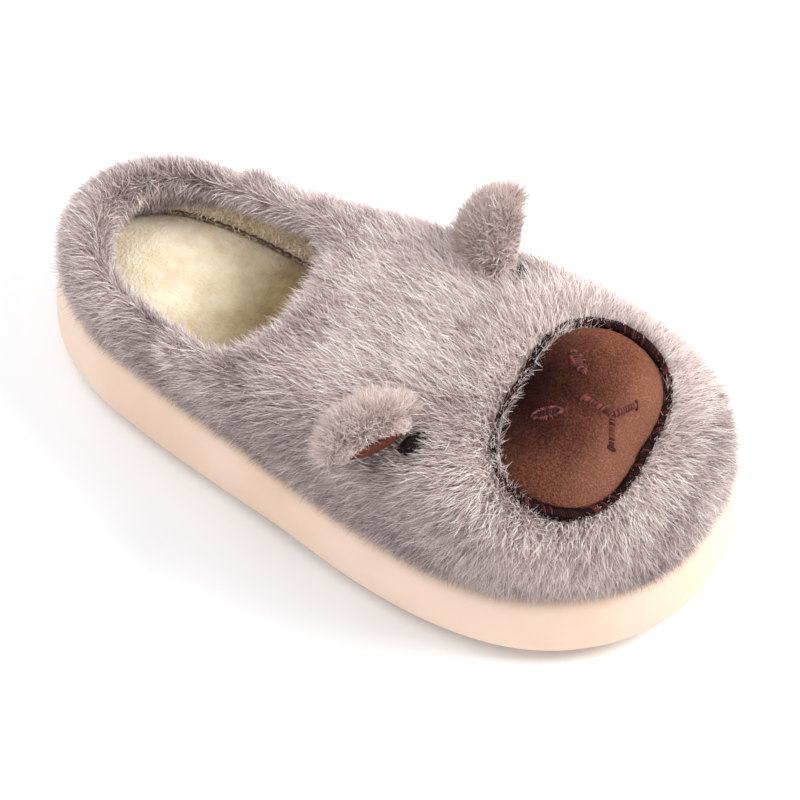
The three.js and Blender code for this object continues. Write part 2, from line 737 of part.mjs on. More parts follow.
// Ear: a round stuffed disc with pile on its back and rim and a flat face
function makeEar(side) {
  const { across, face, up, foot } = earFrame(side);
  const columns = 16;
  const ideal = (angle, row) => {
    const depth = Math.sin(angle) > 0 ? -earBack : earFront;
    const swell = Math.sin(angle) > 0 ? Math.sin(angle) : Math.min(1, -2 * Math.sin(angle));
    return foot.clone()
      .addScaledVector(across, (Math.cos(angle) * row.wide * earWidth) / 2)
      .addScaledVector(face, depth * swell * row.thick)
      .addScaledVector(up, row.up * earHeight);
  };
  const rings = earRings.map((row) => Array.from({ length: columns }, (_, i) => {
    const angle = (i / columns) * 2 * Math.PI;
    const start = ideal(angle, row.up > 0 ? earRings[1] : row);
    let shift = 0;
    for (let step = 0; step < 8; step += 1) {
      const spot = start.clone().addScaledVector(up, shift);
      shift = Math.max(shift + upperTop(spot.x, spot.y) + earGap - spot.z, -earOverhang);
    }
    return ideal(angle, row).addScaledVector(up, shift * (1 - row.up) ** 2);
  }));
  const sole = rings[0].map(() => foot);
  const pile = (centre, normal) => earPile * smoothstep(-normal.dot(face), -0.6, 0);
  const fan = (centre) => centre.clone().sub(foot).normalize();
  const facets = ringBand(sole, rings[0]);
  for (let k = 1; k < rings.length; k += 1) {
    const bare = k < 3;
    facets.push(...pileBand(rings[k - 1], rings[k], bare ? () => 0 : pile, fan, k));
  }
  return closedGeometry(facets);
}

// Ear lining: a thin domed velour patch on the ear's face
function makeEarLining(side) {
  const { across, face, up, foot } = earFrame(side);
  const oval = ellipse(earPatchWidth, earPatchHeight, 0);
  const flat = { form: () => 0, facets: () => 0, gap: seatGap, spread: 0 };
  const patch = padOnSurface(new THREE.Vector3(), oval, 16, padRows(0.4, earPatchCrown), flat);
  const middle = foot.clone()
    .addScaledVector(up, earHeight * earPatchShare)
    .addScaledVector(face, earFront);
  patch.applyMatrix4(new THREE.Matrix4().makeBasis(across, up, face).setPosition(middle));
  return patch;
}

const material = (color, roughness) => (
  new THREE.MeshStandardMaterial({ color, roughness, metalness: 0 }));
const plush = material(0xb9aaa8, 0.95);
const slipper = new THREE.Group();

function addPiece(name, geometry, finish) {
  const mesh = new THREE.Mesh(geometry, finish);
  mesh.name = name;
  slipper.add(mesh);
  return mesh;
}

const velour = material(0x8a5a46, 0.85);
const thread = material(0x5a2a22, 0.7);

addPiece('sole', makeSole(), material(0xf2ddca, 0.55));
addPiece('upper', upperBody, plush);
addPiece('insole', makeInsole(), material(0xe2cea8, 0.95));
[['medial', 1], ['lateral', -1]].forEach(([name, side]) => {
  addPiece(`ear_${name}`, makeEar(side), plush);
  addPiece(`ear_lining_${name}`, makeEarLining(side), velour);
  addPiece(`eye_${name}`, makeEye(side), material(0x2a1c1c, 0.5));
  addPiece(`nostril_${name}`, makeNostril(side), thread);
});
addPiece('muzzle', muzzleBody, velour);
addPiece('muzzle_border', makeBorder(), thread);
addPiece('mouth', await makeMouth(), thread);

// The whole stands on the floor with its box centred on the origin
const box = new THREE.Box3().setFromObject(slipper);
const middle = box.getCenter(new THREE.Vector3());
slipper.children.forEach((mesh) => mesh.geometry.translate(-middle.x, -middle.y, -box.min.z));

export default slipper;
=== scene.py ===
import math

import bmesh
import bpy
import numpy as np
from mathutils import Matrix, Vector
from mathutils.bvhtree import BVHTree


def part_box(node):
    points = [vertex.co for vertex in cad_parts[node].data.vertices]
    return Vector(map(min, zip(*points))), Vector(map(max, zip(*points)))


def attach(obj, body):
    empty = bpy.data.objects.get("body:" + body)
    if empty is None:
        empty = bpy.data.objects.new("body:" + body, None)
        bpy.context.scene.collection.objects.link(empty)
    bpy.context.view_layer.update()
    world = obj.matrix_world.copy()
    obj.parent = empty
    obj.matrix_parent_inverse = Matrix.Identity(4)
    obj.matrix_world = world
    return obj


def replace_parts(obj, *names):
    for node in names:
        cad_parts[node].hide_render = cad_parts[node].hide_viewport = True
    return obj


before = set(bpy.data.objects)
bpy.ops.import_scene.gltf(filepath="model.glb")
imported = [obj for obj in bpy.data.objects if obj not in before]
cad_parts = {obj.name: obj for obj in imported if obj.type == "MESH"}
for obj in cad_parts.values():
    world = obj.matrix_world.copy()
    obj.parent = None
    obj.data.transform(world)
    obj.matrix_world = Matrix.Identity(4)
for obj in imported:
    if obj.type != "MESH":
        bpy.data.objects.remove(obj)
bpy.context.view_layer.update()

# Camera, floor and lamps
# One slipper stands on a pale floor in a soft studio: a large lamp on the toe's side, a weak one
# on the heel's side, and an even white room. The camera looks down over the little-toe side.
look_turn, look_height, look_roll = map(math.radians, (30.44, 59.29, -1.44))
look_at, look_distance = Vector((0.00155, 0.00403, 0.040)), 1.0364
look_aside, look_below = 0.0058, 0.0075
lens_length = 134
floor_reach = 8

scene = bpy.context.scene
scene.view_settings.view_transform = "Standard"
back = Vector((
    math.sin(look_turn) * math.cos(look_height),
    -math.cos(look_turn) * math.cos(look_height),
    math.sin(look_height)))
level = Vector((math.cos(look_turn), math.sin(look_turn), 0))
right = Matrix.Rotation(look_roll, 3, back) @ level
over = back.cross(right)
camera_place = look_at + back * look_distance
camera_aim = look_at + right * look_aside - over * look_below
facing = (camera_place - camera_aim).normalized()
camera_right = over.cross(facing).normalized()
camera = bpy.data.objects.new("camera", bpy.data.cameras.new("camera"))
camera.matrix_world = Matrix.Translation(camera_place) @ Matrix(
    (camera_right, facing.cross(camera_right), facing)).transposed().to_4x4()
camera.data.lens = lens_length
camera.data.clip_start, camera.data.clip_end = 0.05, 20
scene.collection.objects.link(camera)
scene.camera = camera


def soft_lamp(name, place, aim, size, watts, colour):
    lamp = bpy.data.lights.new(name, "AREA")
    lamp.size, lamp.energy, lamp.color = size, watts, colour
    holder = bpy.data.objects.new(name, lamp)
    holder.location = place
    holder.rotation_euler = (Vector(aim) - Vector(place)).to_track_quat("-Z", "Y").to_euler()
    scene.collection.objects.link(holder)


soft_lamp("toe_lamp", place=(0.75, 0.45, 0.95), aim=(0.02, 0, 0.04), size=0.55, watts=15.5,
          colour=(1, 0.98, 0.95))
soft_lamp("heel_lamp", place=(-0.42, -0.12, 1.0), aim=(-0.04, 0, 0.04), size=0.7, watts=5.0,
          colour=(0.96, 0.98, 1))
scene.world = bpy.data.worlds.new("room")
scene.world.use_nodes = True
room_light = scene.world.node_tree.nodes["Background"]
room_light.inputs["Color"].default_value = (0.95, 0.97, 1, 1)
room_light.inputs["Strength"].default_value = 0.76


class Value:
    """A socket of a finish's nodes that can be added, multiplied and so on like a number."""

    def __init__(self, finish, socket):
        self.finish, self.socket = finish, socket

    def math(self, operation, *values):
        inputs = dict(enumerate(values))
        return self.finish.node("ShaderNodeMath", {"operation": operation}, inputs)

    def __add__(self, other):
        return self.math("ADD", self, other)

    def __sub__(self, other):
        return self.math("SUBTRACT", self, other)

    def __rsub__(self, other):
        return self.math("SUBTRACT", other, self)

    def __mul__(self, other):
        return self.math("MULTIPLY", self, other)

    __radd__, __rmul__ = __add__, __mul__

    def ramp(self, low, high):
        """0 below low, 1 above high, and smooth between them."""
        return self.finish.node("ShaderNodeMapRange", {"interpolation_type": "SMOOTHSTEP"}, {
            "Value": self, "From Min": low, "From Max": high})


class Finish:
    """A material: what is the same all over is set on its shader, the rest is built by nodes."""

    def __init__(self, name, **uniform):
        self.material = bpy.data.materials.new(name)
        self.material.use_nodes = True
        self.tree = self.material.node_tree
        self.shader = self.tree.nodes["Principled BSDF"]
        for socket, value in uniform.items():
            self.shader.inputs[socket.replace("_", " ")].default_value = value

    def node(self, kind, settings, inputs, output=0):
        node = self.tree.nodes.new(kind)
        for key, value in settings.items():
            setattr(node, key, value)
        for key, value in inputs.items():
            if isinstance(value, Value):
                self.tree.links.new(value.socket, node.inputs[key])
            else:
                node.inputs[key].default_value = value
        return Value(self, node.outputs[output])

    def place(self):
        return self.node("ShaderNodeTexCoord", {}, {}, "Object")

    def along(self, axis):
        return self.node("ShaderNodeSeparateXYZ", {}, {0: self.place()}, axis)

    def facing(self, axis):
        normal = self.node("ShaderNodeNewGeometry", {}, {}, "Normal")
        return self.node("ShaderNodeSeparateXYZ", {}, {0: normal}, axis)

    def attribute(self, name):
        return self.node("ShaderNodeAttribute", {"attribute_name": name}, {}, "Fac")

    def noise(self, size, detail=2.0, roughness=0.5):
        """Cloudy values about 0.5, with patches of the given size in metres."""
        return self.node("ShaderNodeTexNoise", {}, {
            "Vector": self.place(), "Scale": 1 / size, "Detail": detail, "Roughness": roughness})

    def mix(self, share, first, second):
        return self.node("ShaderNodeMix", {"data_type": "RGBA"}, {
            "Factor": share, 6: self.tint(first), 7: self.tint(second)}, 2)

    def tint(self, colour):
        return colour if isinstance(colour, Value) else (*colour, 1)

    def feed(self, socket, value):
        self.tree.links.new(value.socket, self.shader.inputs[socket])

    def bump(self, height, depth, strength=1.0):
        self.feed("Normal", self.node("ShaderNodeBump", {}, {
            "Height": height, "Distance": depth, "Strength": strength}))


floor_form = bmesh.new()
bmesh.ops.create_grid(floor_form, x_segments=1, y_segments=1, size=floor_reach)
floor_mesh = bpy.data.meshes.new("floor")
floor_form.to_mesh(floor_mesh)
floor_form.free()
floor = bpy.data.objects.new("floor", floor_mesh)
scene.collection.objects.link(floor)
floor_finish = Finish("pale floor", Base_Color=(0.9, 0.9, 0.9, 1), Roughness=0.8)
floor_mesh.materials.append(floor_finish.material)

# Sole
# One thick unit of moulded foam, cream, with a satin skin, a rounded lower edge and a toe that
# springs up. It is cast whole; shallow waves are moulded into its underside for grip.
corner_gap = 2e-5
facet_turn, facet_skew = math.radians(50), math.radians(60)


def paint(red, green, blue):
    """A colour as it is named on a screen, 0 to 255, turned into the renderer's own values."""
    shares = [channel / 255 for channel in (red, green, blue)]
    return tuple(s / 12.92 if s < 0.04045 else ((s + 0.055) / 1.055) ** 2.4 for s in shares)


def joined_form(node):
    """A copy of a part's solid with the corners of its loose triangles joined."""
    form = bmesh.new()
    form.from_mesh(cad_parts[node].data)
    bmesh.ops.remove_doubles(form, verts=form.verts, dist=corner_gap)
    return form


def four_sided(form):
    """Makes pairs of flat triangles four-sided, so that the form rounds evenly."""
    bmesh.ops.join_triangles(
        form, faces=[face for face in form.faces if len(face.verts) == 3],
        angle_face_threshold=facet_turn, angle_shape_threshold=facet_skew)
    return form


def make_piece(name, form, slot, *finishes, replaces=()):
    mesh = bpy.data.meshes.new(name)
    form.to_mesh(mesh)
    form.free()
    mesh.shade_smooth()
    for finish in finishes:
        mesh.materials.append(finish.material)
    piece = bpy.data.objects.new(name, mesh)
    scene.collection.objects.link(piece)
    if replaces:
        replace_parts(piece, *replaces)
    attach(piece, "root")
    return piece


def rounded(piece, levels):
    smoothing = piece.modifiers.new("rounding", "SUBSURF")
    smoothing.levels = smoothing.render_levels = levels
    return piece


sole_foam = Finish(
    "cream foam", Roughness=0.5, Subsurface_Weight=0.12, Subsurface_Scale=0.01,
    Subsurface_Radius=(1, 0.6, 0.4))
sole_cloud = sole_foam.noise(0.05, 3)
sole_foam.feed("Base Color", sole_foam.mix(
    sole_cloud.ramp(0.35, 0.65), paint(232, 200, 175), paint(240, 211, 189)))
sole_foam.feed("Roughness", sole_foam.noise(0.004).ramp(0, 1) * 0.16 + 0.42)
grip_wave = sole_foam.node("ShaderNodeTexWave", {"bands_direction": "X", "wave_profile": "SIN"}, {
    "Vector": sole_foam.place(), "Scale": 36, "Distortion": 2.2, "Detail": 0})
grip = grip_wave.ramp(0.3, 0.5) * (1 - sole_foam.facing("Z").ramp(-0.98, -0.9))
sole_foam.bump(sole_foam.noise(0.0012, 4) * 0.06 + grip * 1.6, 0.001)
rounded(make_piece("sole_foam", four_sided(joined_form("sole")), "sole", sole_foam,
                   replaces=["sole"]), 2)

# Upper's backing and lining
# A padded shell sewn from knitted backing with a thick roll round the collar. Outside it is the
# ground that the long pile grows from; inside it is lined with curly cream fleece.
pile_root = paint(150, 134, 133)
lining_light, lining_dark = paint(255, 248, 230), paint(255, 230, 194)
opening_front = -0.030
foot_heel, foot_toe = -0.085, 0.075


def without_locks(form, sharpness):
    """Takes the tip of each lock of fur off its four-sided foot."""
    tips = [v for v in form.verts if len(v.link_faces) == 4 and sum(
        edge.calc_face_angle_signed(0) for edge in v.link_edges) > sharpness]
    bmesh.ops.dissolve_verts(form, verts=tips)
    return form


def set_form(piece):
    """Makes a piece's modifiers part of its mesh."""
    bpy.context.view_layer.update()
    shown = piece.evaluated_get(bpy.context.evaluated_depsgraph_get())
    mesh = bpy.data.meshes.new_from_object(shown)
    piece.modifiers.clear()
    piece.data = mesh
    return piece


def rows_of(items, name):
    """One value of each point of a mesh, such as its place, as rows of three numbers."""
    values = np.empty(len(items) * 3)
    items.foreach_get(name, values)
    return values.reshape(-1, 3)


def steps(values, low, high):
    """0 below low, 1 above high, and smooth between them."""
    share = np.clip((values - low) / (high - low), 0, 1)
    return share * share * (3 - 2 * share)


def outwardness(points, normals):
    """From -1 on the lining to 1 on the outside: how far a place faces away from the foot."""
    foot = np.stack([
        np.clip(points[:, 0], foot_heel, foot_toe), np.zeros(len(points)),
        np.where(points[:, 0] < -0.02, 0.050, 0.056)], 1)
    away = points - foot
    return (away * normals).sum(1) / np.linalg.norm(away, axis=1)


def on_collar(points):
    """True on the roll round the opening, where the long pile turns in over its top."""
    x, y, z = points.T
    lining_edge = 0.045 + 0.011 * steps(x, -0.11, -0.07) * steps(y, -0.03, 0.02)
    return (x < opening_front) & (z > lining_edge)


def add_values(piece, name, values):
    store = piece.data.attributes.new(name, "FLOAT", "POINT")
    store.data.foreach_set("value", np.asarray(values, np.float32))


backing = Finish("plush backing", Roughness=0.95)
shell = set_form(rounded(make_piece(
    "plush_backing", four_sided(without_locks(joined_form("upper"), 0.6)), "plush", backing,
    replaces=["upper"]), 2))
shell_points, shell_normals = (rows_of(shell.data.vertices, name) for name in ("co", "normal"))
add_values(shell, "outside", np.where(
    on_collar(shell_points), 1, outwardness(shell_points, shell_normals)))
lining_curl = backing.noise(0.0028, 3, 0.6)
lining_tint = backing.mix(lining_curl.ramp(0.3, 0.7), lining_dark, lining_light)
backing.feed("Base Color", backing.mix(
    backing.attribute("outside").ramp(-0.2, 0.15), lining_tint, pile_root))
backing.bump(lining_curl, 0.003, 0.9)

# Long pile of the upper
# Acrylic fur 8 to 10 mm deep, knitted into the backing: bent strands over fine straight down,
# grey at the roots and pale pink-grey at the tips. It lies back along the sides, out from the
# heel and toe, and puffs up round the muzzle.
pile_length = 0.0100
pile_width = 0.00027
pile_count, down_count = 128000, 280000
rim_gap = 0.0014
chance = np.random.default_rng(7)


def triangles_of(piece):
    """The three corners of each triangle of a piece."""
    piece.data.calc_loop_triangles()
    index = np.empty(len(piece.data.loop_triangles) * 3, np.int32)
    piece.data.loop_triangles.foreach_get("vertices", index)
    return rows_of(piece.data.vertices, "co")[index.reshape(-1, 3)]


def scatter(corners, count):
    """Even random places on triangles, with the triangles' normals."""
    sides = np.cross(corners[:, 1] - corners[:, 0], corners[:, 2] - corners[:, 0])
    areas = np.linalg.norm(sides, axis=1)
    pick = chance.choice(len(areas), count, p=areas / areas.sum())
    u, v = chance.random((2, count))
    flip = u + v > 1
    u, v = np.where(flip, 1 - u, u)[:, None], np.where(flip, 1 - v, v)[:, None]
    chosen = corners[pick]
    places = chosen[:, 0] * (1 - u - v) + chosen[:, 1] * u + chosen[:, 2] * v
    return places, sides[pick] / areas[pick][:, None]


def unit(vectors):
    return vectors / np.maximum(np.linalg.norm(vectors, axis=1), 1e-9)[:, None]


def tufts(points, size):
    """The middle of the tuft that each place belongs to, in a jittered grid of tufts."""
    cell = np.floor(points / size)
    spin = np.sin(cell @ np.array([12.9898, 78.233, 37.719]))[:, None] * np.array(
        [43758.5, 22578.1, 19642.3])
    return (cell + 0.2 + 0.6 * (spin - np.floor(spin))) * size


def join_copies(name, corners, facets, tone, finish, reach=None):
    """One mesh of many small copies: corners holds each copy's points, facets one copy's faces."""
    count, points = corners.shape[:2]
    facets = np.array(facets)
    index = (np.arange(count)[:, None, None] * points + facets).reshape(-1)
    mesh = bpy.data.meshes.new(name)
    mesh.vertices.add(count * points)
    mesh.vertices.foreach_set("co", corners.reshape(-1))
    mesh.loops.add(len(index))
    mesh.loops.foreach_set("vertex_index", index.astype(np.int32))
    mesh.polygons.add(count * len(facets))
    mesh.polygons.foreach_set(
        "loop_start", np.arange(0, len(index), facets.shape[1], dtype=np.int32))
    mesh.update(calc_edges=True)
    mesh.shade_smooth()
    mesh.materials.append(finish.material)
    piece = bpy.data.objects.new(name, mesh)
    scene.collection.objects.link(piece)
    add_values(piece, "tone", np.repeat(tone, points))
    if reach is not None:
        add_values(piece, "reach", reach)
    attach(piece, "root")
    return piece


def grow_pile(name, roots, normals, lie, length, width, slot, finish, tone, bend=0.5, clump=0.22,
              tuft=0.005, stray=0.3, straight=False):
    """Strands as narrow leaves that rise from their roots and bend over, or as straight spikes."""
    count = len(roots)
    lie = lie - normals * (lie * normals).sum(1)[:, None]
    drift = chance.normal(0, 1, (count, 3)) * np.broadcast_to(stray, count)[:, None]
    start = unit(normals * 0.55 + lie * 0.65 + drift)
    end = unit(normals * (0.55 - bend * 0.5) + lie * (0.65 + bend) + drift * 1.3)
    length = (length * chance.uniform(0.75, 1.15, count))[:, None]
    middle = roots + start * length * 0.5
    tip = middle + end * length * 0.5
    pull = tufts(roots, tuft) + (tip - roots) * 0.8
    tip = tip + (pull - tip) * clump * chance.uniform(0.5, 1, count)[:, None]
    across = unit(np.cross(tip - roots, chance.normal(0, 1, (count, 3)))) * width / 2
    if straight:
        corners, reach = [roots - across, roots + across, tip], [0, 0, 1]
        leaf = [[0, 1, 2]]
    else:
        corners = [roots - across, roots + across,
                   middle - across * 0.8, middle + across * 0.8, tip]
        reach, leaf = [0, 0, 0.55, 0.55, 1], [[0, 1, 3], [0, 3, 2], [2, 3, 4]]
    return join_copies(name, np.stack(corners, 1), leaf, tone, finish, np.tile(reach, count))


muzzle_low, muzzle_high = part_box("muzzle")
muzzle_middle = (muzzle_low + muzzle_high) / 2
muzzle_half = (muzzle_high - muzzle_low) / 2


def beyond_muzzle(points):
    """Distance outside the muzzle's oval, seen from above."""
    flat = (points[:, :2] - np.array(muzzle_middle[:2])) / np.array(muzzle_half[:2])
    radius = np.linalg.norm(flat, axis=1)
    return (radius - 1) * float(muzzle_half[0] + muzzle_half[1]) / 2


def middle_of(node):
    low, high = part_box(node)
    return np.array((low + high) / 2)


def from_nearest(points, *nodes):
    """Distance to the middle of the nearest of some parts."""
    return np.min([np.linalg.norm(points - middle_of(node), axis=1) for node in nodes], 0)


def pile_lie(points):
    """Which way the pile lies at a place, before it meets the muzzle or turns in at the collar."""
    x, y, z = points.T
    heel = unit(np.stack([x + 0.066, y, np.zeros(len(x))], 1))
    side = np.sign(y) * steps(np.abs(y), 0.01, 0.045)
    back = np.stack([-np.ones(len(x)), side * 0.25, -0.45 * steps(np.abs(y), 0.02, 0.05)], 1)
    toe = unit(points - np.array([muzzle_middle.x - 0.006, muzzle_middle.y, z.mean() + 0.02]))
    toe_share = steps(x, 0.03, 0.075)[:, None]
    heel_share = (1 - steps(x, -0.105, -0.06))[:, None]
    lie = unit(back) * (1 - toe_share) * (1 - heel_share) + toe * toe_share + heel * heel_share
    fringe = (1 - steps(z, 0.040, 0.052))[:, None]
    return unit(lie + np.array([0, 0, -1.1]) * fringe)


def round_muzzle(lie, points, muzzle_gap):
    """Stands the pile up round the muzzle, leans it over the rear rim and lays a few wisps in."""
    inward = unit(np.array([muzzle_middle.x, muzzle_middle.y, 0]) - points * np.array([1, 1, 0]))
    rear = steps(inward[:, 0] * 0.86 + inward[:, 1] * 0.5, -0.1, 0.7)[:, None]
    lean = 0.36 * rear - 0.28
    rising = steps(muzzle_gap, 0.002, 0.011)[:, None]
    lie = lie * rising + inward * lean * (1 - rising)
    wisp = (chance.random(len(points)) < 0.05) & (muzzle_gap < 0.005) & (lean[:, 0] > 0)
    lie[wisp] = inward[wisp] * 1.3
    return lie


def pile_tone_and_painted_light(points, muzzle_gap):
    """How pale the pile is: random patches and strands, with painted shade low down, on the
    little-toe side, by the ears and eyes and in a crease beyond the muzzle, and painted light on
    the instep and the roll round the muzzle.
    """
    x, y, z = points.T
    patches = sum(np.sin(points @ np.array(way) + turn) for way, turn in (
        ((190, 60, 90), 1.0), ((-80, 170, 40), 2.1), ((60, -90, 210), 0.3)))
    # Painted shade low down, on the little-toe side, in the crease and by the ears and eyes;
    # painted light on the top of the instep and on the puffed roll round the muzzle.
    low_shade = 1 - steps(z, 0.038, 0.060)
    little_toe_half_shade = steps(-y, 0, 0.03)
    little_toe_flank_shade = steps(-y, 0.022, 0.048) * (1 - steps(x, 0.02, 0.06))
    # Painted light: the top of the instep is made paler.
    instep = steps(x, -0.03, 0.01) * steps(z, 0.06, 0.085)
    muzzle_roll_light = np.exp(-((muzzle_gap - 0.008) / 0.007) ** 2)
    crease_shadow = np.exp(-((muzzle_gap - 0.021) / 0.004) ** 2) * steps(x, 0.06, 0.09)
    ear_hollow_shade = 1 - steps(
        from_nearest(points, "ear_lining_medial", "ear_lining_lateral"), 0.006, 0.018)
    eye_hollow_shade = 1 - steps(from_nearest(points, "eye_lateral"), 0.003, 0.010)
    return (0.61 + 0.09 * patches + chance.normal(0, 0.4, len(points))
            - 0.3 * low_shade - 0.06 * little_toe_half_shade - 0.22 * little_toe_flank_shade + 0.2 * instep
            + 0.3 * muzzle_roll_light - 0.35 * crease_shadow - 0.45 * ear_hollow_shade - 0.35 * eye_hollow_shade)


def pile_depth(points, muzzle_gap):
    """The pile's share of its full length: less low down and by the muzzle, ears and eyes."""
    ear_gap = from_nearest(points, "ear_lining_medial", "ear_lining_lateral")
    return ((0.8 + 0.2 * steps(points[:, 2], 0.035, 0.05))
            * (0.8 + 0.2 * steps(muzzle_gap, 0.002, 0.012))
            * (0.35 + 0.65 * steps(ear_gap, 0.006, 0.017))
            * (0.5 + 0.5 * steps(from_nearest(points, "eye_lateral"), 0.003, 0.009))
            * (0.8 + 0.2 * steps(from_nearest(points, "eye_medial"), 0.003, 0.009)))


fur = Finish("long pile", Roughness=0.6)
# The tone attribute holds each strand's random paleness together with the painted light and shade
# of the pile.
fur_reach, fur_tone_and_painted_light = fur.attribute("reach"), fur.attribute("tone")
fur_root = fur.mix(fur_tone_and_painted_light, paint(92, 78, 80), paint(212, 190, 187))
fur_tip = fur.mix(fur_tone_and_painted_light, paint(168, 148, 147), paint(255, 242, 238))
fur.feed("Base Color", fur.mix(fur_reach.ramp(0.05, 0.9), fur_root, fur_tip))

shell_corners = triangles_of(shell)
shell_middles = shell_corners.mean(1)
shell_sides = unit(np.cross(
    shell_corners[:, 1] - shell_corners[:, 0], shell_corners[:, 2] - shell_corners[:, 0]))
clothed = (outwardness(shell_middles, shell_sides) > -0.12) | on_collar(shell_middles)
heel_end, toe_start = -0.035, 0.062
pile_zones = {
    "heel": lambda x, y: x < heel_end,
    "toe": lambda x, y: x > toe_start,
    "little_toe_side": lambda x, y: (x >= heel_end) & (x <= toe_start) & (y < 0),
    "big_toe_side": lambda x, y: (x >= heel_end) & (x <= toe_start) & (y >= 0),
}


def clothe_shell(kind, count, length, width, stray, **shape):
    """Grows one kind of pile all over the outside and the collar, one piece for each zone."""
    roots, normals = scatter(shell_corners[clothed], count)
    muzzle_gap = beyond_muzzle(roots)
    kept = muzzle_gap > rim_gap
    roots, normals, muzzle_gap = roots[kept], normals[kept], muzzle_gap[kept]
    inside_collar = np.clip(-outwardness(roots, normals) * 2.5, 0, 1)
    # Tone: random paleness with painted light and shade.
    tone = np.clip(pile_tone_and_painted_light(roots, muzzle_gap), 0, 1)
    length = length * pile_depth(roots, muzzle_gap) * (1 - 0.35 * inside_collar)
    lie = pile_lie(roots) + np.array([0, 0, -0.8]) * inside_collar[:, None]
    lie = round_muzzle(lie, roots, muzzle_gap)
    stray = stray * (0.3 + 0.7 * steps(muzzle_gap, 0.001, 0.008))
    for zone, covers in pile_zones.items():
        held = covers(roots[:, 0], roots[:, 1])
        grow_pile(f"{kind}_{zone}", roots[held], normals[held], lie[held], length[held], width,
                  "plush", fur, tone[held], stray=stray[held], **shape)


clothe_shell("pile", pile_count, pile_length, pile_width, stray=0.3)
clothe_shell("down", down_count, pile_length * 0.8, pile_width * 0.9, stray=0.42, clump=0.1,
             straight=True)

# Insole
# A soft foam foot bed covered in short cream plush, laid inside the shell. Its colour has painted
# shade towards the throat, where the upper closes over it.
foot_plush = Finish("short cream plush", Roughness=0.9, Sheen_Weight=0.2)
foot_cloud = foot_plush.noise(0.010, 5, 0.65)
# Painted shade: the plush darkens to ochre towards the throat.
throat_shade = foot_plush.along("X").ramp(-0.082, -0.038)
foot_plush.feed("Base Color", foot_plush.mix(
    throat_shade,
    foot_plush.mix(foot_cloud.ramp(0.25, 0.7), paint(236, 210, 174), paint(253, 240, 214)),
    foot_plush.mix(foot_cloud.ramp(0.25, 0.7), paint(126, 96, 50), paint(172, 142, 90))))
foot_plush.bump(foot_plush.noise(0.0014, 4, 0.7), 0.0022, 0.7)
insole = rounded(make_piece(
    "insole_plush", four_sided(joined_form("insole")), "insole_plush", foot_plush,
    replaces=["insole"]), 2)

# Fleece of the lining
# Short curly cream fleece, knitted as one cloth with its backing and sewn in as the shell's
# inner face. Its loops bend every way and gather in small curls.
fleece_count, fleece_length, fleece_width, fleece_curl = 22000, 0.0034, 0.0005, 0.0035
fleece_end = 0.02
fleece = Finish("curly fleece", Roughness=0.9)
fleece.feed("Base Color", fleece.mix(
    fleece.attribute("tone") * 0.6 + fleece.attribute("reach") * 0.4, lining_dark, lining_light))
fleece_roots, fleece_normals = scatter(
    shell_corners[~clothed & (shell_middles[:, 0] < fleece_end)], fleece_count)
grow_pile("lining_fleece", fleece_roots, fleece_normals, chance.normal(0, 0.6, fleece_roots.shape),
          fleece_length, fleece_width, "insole_plush", fleece, chance.random(len(fleece_roots)),
          bend=1.1, clump=0.35, tuft=fleece_curl)

# Seam of the insole
# A row of brown stitches round the foot bed's top edge, which joins its plush to the lining.
# Each stitch is one thread, bent over with its ends in the cloth.
stitch_pitch, stitch_rise = 0.0034, 0.0009


def stitch_form(thick, span, rise, rings=4, sides=6):
    """One thread of a stitch, bent over X into a low arch whose ends dip into the cloth."""
    reach = (span * span / 4 + rise * rise) / (2 * rise)
    half = math.asin(span / 2 / reach)
    form = bmesh.new()
    bmesh.ops.create_circle(form, segments=sides, radius=thick / 2, matrix=(
        Matrix.Translation((0, 0, rise - reach)) @ Matrix.Rotation(-half, 4, "Y")
        @ Matrix.Translation((0, 0, reach)) @ Matrix.Rotation(math.pi / 2, 4, "Y")))
    bmesh.ops.spin(form, geom=form.verts[:] + form.edges[:], cent=(0, 0, rise - reach),
                   axis=(0, 1, 0), angle=2 * half, steps=rings)
    bmesh.ops.recalc_face_normals(form, faces=form.faces)
    return form


def lay_stitches(name, form, places, along, up, finish, stretch=1.0):
    """Copies of one stitch at the places, each turned along its own thread and stretched."""
    thread = np.array([vertex.co[:] for vertex in form.verts])
    facets = [[vertex.index for vertex in face.verts] for face in form.faces]
    form.free()
    along = unit(along - up * (along * up).sum(1)[:, None])
    turn = np.stack([along, np.cross(up, along), up], 2)
    threads = np.repeat(thread[None], len(places), 0)
    threads[:, :, 0] *= np.broadcast_to(stretch, len(places))[:, None]
    corners = np.einsum("nij,nkj->nki", turn, threads) + places[:, None]
    return join_copies(name, corners, facets, chance.random(len(places)), finish)


seam_thread = Finish("brown seam thread", Base_Color=(*paint(96, 62, 40), 1), Roughness=0.7)
insole_form = four_sided(joined_form("insole"))
insole_edge = [edge for edge in insole_form.edges if len(edge.link_faces) == 2
               and max(face.normal.z for face in edge.link_faces) > 0.6
               and min(face.normal.z for face in edge.link_faces) < 0.5
               and max(vertex.co.x for vertex in edge.verts) < 0.01]
seam_places, seam_along = [], []
for edge in insole_edge:
    start, end = (vertex.co for vertex in edge.verts)
    dashes = max(1, round((end - start).length / stitch_pitch))
    for dash in range(dashes):
        seam_places.append(start.lerp(end, (dash + 0.5) / dashes) + Vector((0, 0, 0.0012)))
        seam_along.append(end - start)
insole_form.free()
lay_stitches("insole_seam", stitch_form(0.0008, 0.0030, stitch_rise), np.array(seam_places),
             np.array(seam_along), np.tile([0.0, 0.0, 1.0], (len(seam_places), 1)),
             seam_thread)

# Ears
# Two stuffed plush discs sewn on beside the instep. Pale hair fans up and back from each ear's
# rim, and a brown velour lining lies in the face, where the hair is clipped short.
ear_count, ear_length, ear_width = 16000, 0.0098, 0.00028
clipped_above, clipped_below = 0.0024, 0.0015
lining_radius = 0.0085
face_forward, face_outward, face_down = 0.79, 0.51, 0.34


def give_finish(node, finish):
    """Gives a part that keeps the form it is built with its finish."""
    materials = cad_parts[node].data.materials
    materials.clear()
    materials.append(finish.material)


